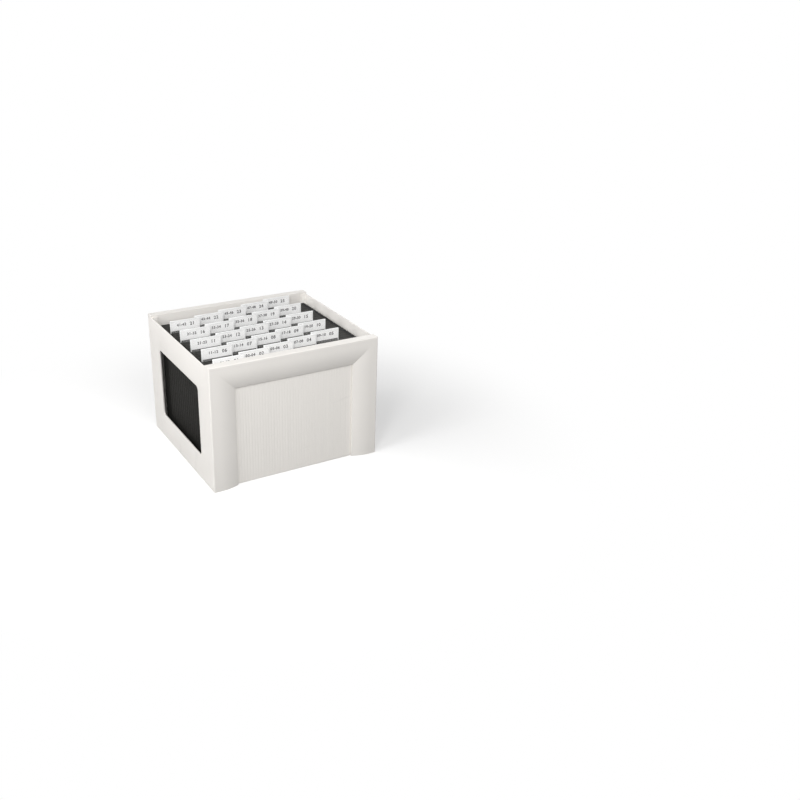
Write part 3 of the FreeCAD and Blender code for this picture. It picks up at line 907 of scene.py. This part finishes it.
def tab_feet(name):
    """The two feet under a sleeve, each with a tongue through its slot in the card."""
    back = FOLDER_LOW.y - TAB_GAP
    sole = TAB_LOW.z
    tongue_top = sole + TONGUE_TALL
    middle = (TAB_LOW.x + TAB_HIGH.x) / 2
    feet = []
    for side in (-1, 1):
        centre = middle + side * SLOT_PITCH / 2
        foot = block("%s_%d" % (name, side), (centre - FOOT_HALF, back - TAB_WALL, sole),
                     (centre + FOOT_HALF, back, TAB_HIGH.z - TAB_TALL + TAB_WALL))
        bpy.ops.object.mode_set(mode="EDIT")
        cut_across((centre, back, tongue_top), (0, 0, 1))
        select_where(foot, "faces", lambda face, mid, co: (
            face.normal.y > 0.9 and mid.z < tongue_top))
        pull((0, TAB_HIGH.y - back, 0))
        close_up(foot)
        soften(foot, 0.18 * MM, 2, rubbed=1)
        feet.append(foot)
    return joined(feet, name)


def label_sheet(name):
    """The paper label inside a sleeve."""
    front = TAB_LOW.y + TAB_WALL + LABEL_GAP / 2
    low = TAB_HIGH.z - TAB_TALL + TAB_CLEAR_EDGE
    high = TAB_HIGH.z - TAB_WALL - LABEL_GAP
    piece = block(name, (TAB_LOW.x + LABEL_GAP, front, low),
                  (TAB_HIGH.x - LABEL_GAP, front + LABEL_THICK, high))
    soften(piece, 0.08 * MM, 1)
    return piece


def printed(name, words, corner, layout):
    """A line of plain numbers on a label's front, laid out from the tab's lower left corner."""
    size, way_in, way_up = layout
    deselect()
    start = corner + Vector((way_in, 0, way_up))
    bpy.ops.object.text_add(location=start, rotation=(math.pi / 2, 0, 0))
    line = bpy.context.object
    line.name = name
    line.data.body = words
    line.data.size = size
    line.data.offset = PRINT_WEIGHT
    line.data.space_character = PRINT_SPREAD
    line.data.extrude = PRINT_THICK
    line.data.resolution_u = 3
    bpy.ops.object.convert(target="MESH")
    line = bpy.context.object
    bpy.ops.object.transform_apply(location=True, rotation=True, scale=True)
    return line


def build_box():
    """The fixed part of the box. It hands on the steel strips' two finishes for the rods."""
    plastic = moulded_plastic()
    front = moulded_frame("frame_moulding_front")
    soften(front, 0.5 * MM, 2, 45, rubbed=1)
    modify(front, "WEIGHTED_NORMAL", keep_sharp=True)
    back = half_turned(front, "frame_moulding_back")
    front_sheet = twin_wall_panel("twin_wall_front")
    paint(front_sheet, sheet_plastic())
    rubbed = rubbed_plastic()
    back_sheet = half_turned(front_sheet, "twin_wall_back")
    left = side_wall("side_wall_left")
    right = half_turned(left, "side_wall_right")
    tray = base_tray("base_tray")
    for piece in (front, back, left, right, tray):
        paint(piece, plastic, rubbed)
    left_rail = rail_strip("rail_strip_left")
    lacquer = lacquered_steel()
    thin_lacquer = rubbed_lacquer()
    paint(left_rail, lacquer, thin_lacquer)
    right_rail = half_turned(left_rail, "rail_strip_right")
    fasteners = screw_set("pan_head_screws")
    paint(fasteners, zinc_steel())
    for piece, slot, node in (
            (front, "box_plastic", "front_frame"), (back, "box_plastic", "back_frame"),
            (front_sheet, "panel_plastic", "front_panel"),
            (back_sheet, "panel_plastic", "back_panel"),
            (left, "box_plastic", "left_side_frame"), (right, "box_plastic", "right_side_frame"),
            (tray, "box_plastic", "base"), (left_rail, "lacquered_steel", "left_rail"),
            (right_rail, "lacquered_steel", "right_rail"), (fasteners, "screw_steel", "screws")):
        fit(piece, "box", slot, node)
    return lacquer, thin_lacquer


def build_folders(lacquer, thin_lacquer):
    """The row of folders, each with its rods, tab and label."""
    card = folder_card_piece("card_01")
    paint(card, folder_card(), rubbed_card())
    rods = hanger_rods("rods_01")
    paint(rods, lacquer, thin_lacquer)
    white_edge = edge_plastic()
    sleeve = tab_sleeve("sleeve_01")
    clear = clear_plastic()
    paint(sleeve, clear, white_edge)
    feet = tab_feet("feet_01")
    paint(feet, clear, white_edge)
    label = label_sheet("label_01")
    paint(label, label_paper())
    ink = label_ink()
    for index in range(FOLDERS):
        number = "%02d" % (index + 1)
        tab_low, tab_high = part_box("tab_" + number)
        folder_move = Matrix.Translation(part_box("folder_" + number)[0] - FOLDER_LOW)
        tab_move = Matrix.Translation(tab_low - TAB_LOW)
        row = []
        for piece, move in ((card, folder_move), (rods, folder_move), (sleeve, tab_move),
                            (feet, tab_move), (label, tab_move)):
            stem = piece.name.rsplit("_", 1)[0]
            row.append(piece if index == 0 else copied(piece, "%s_%s" % (stem, number), move))
        face = tab_low.y + TAB_WALL + LABEL_GAP / 2 - 2 * PRINT_THICK
        corner = Vector((tab_low.x, face, tab_high.z - TAB_TALL))
        pair = "%02d-%02d" % (2 * index + 1, 2 * index + 2)
        lines = [printed("print_long_" + number, pair, corner, LONG_PRINT),
                 printed("print_short_" + number, number, corner, SHORT_PRINT)]
        numbers = joined(lines, "numbers_" + number)
        paint(numbers, ink)
        finished = [
            ("folder_card", ["folder_" + number]), ("lacquered_steel", []),
            ("tab_plastic", ["tab_" + number]), ("tab_plastic", []), ("tab_plastic", []),
            ("tab_plastic", []),
        ]
        for piece, (slot, nodes) in zip(row + [numbers], finished):
            fit(piece, "folder_body_" + number, slot, *nodes)


# Floor, light and camera

def lay_floor():
    """A wide pale floor under the box."""
    deselect()
    bpy.ops.mesh.primitive_plane_add(size=FLOOR_SIZE, location=(0, 0, 0))
    floor = bpy.context.object
    floor.name = "floor"
    floor.data.materials.append(floor_finish())


def softbox(name, azimuth, elevation, strength, size):
    """A round soft lamp aimed at the box. Azimuth 0 is in front, 90 on the right-hand side."""
    lamp = bpy.data.lights.new(name, "AREA")
    lamp.shape = "DISK"
    lamp.size = size
    lamp.energy = strength * math.pi * LAMP_AWAY ** 2
    holder = bpy.data.objects.new(name, lamp)
    bpy.context.scene.collection.objects.link(holder)
    holder.rotation_euler = (math.radians(90 - elevation), 0, math.radians(azimuth))
    aim = Vector((0, 0, BOX_TOP / 2))
    holder.location = aim + holder.rotation_euler.to_matrix() @ Vector((0, 0, LAMP_AWAY))


def light_studio():
    """The soft lamps and an even surround, which is plain white where it is seen."""
    for lamp in LAMPS:
        softbox(*lamp)
    world = bpy.data.worlds.new("surround")
    bpy.context.scene.world = world
    world.use_nodes = True
    surround = world.node_tree.nodes["Background"]
    surround.inputs["Color"].default_value = WHITE
    surround.inputs["Strength"].default_value = SURROUND
    white = add(world, "ShaderNodeBackground", Color=WHITE, Strength=1)
    shown = mixed_shader(world, looked_at(world), surround, white)
    wire(world, shown, 0, world.node_tree.nodes["World Output"], "Surface")


def set_camera():
    """The photograph's viewpoint, fitted to the box's corners and edges."""
    lens = bpy.data.cameras.new("camera")
    lens.sensor_width = SENSOR
    lens.lens = LENS
    camera = bpy.data.objects.new("camera", lens)
    bpy.context.scene.collection.objects.link(camera)
    camera.location = CAMERA_PLACE
    camera.rotation_euler = [math.radians(angle) for angle in CAMERA_ANGLES]
    bpy.context.scene.camera = camera


build_folders(*build_box())
lay_floor()
light_studio()
set_camera()
bpy.context.scene.view_settings.view_transform = "Standard"
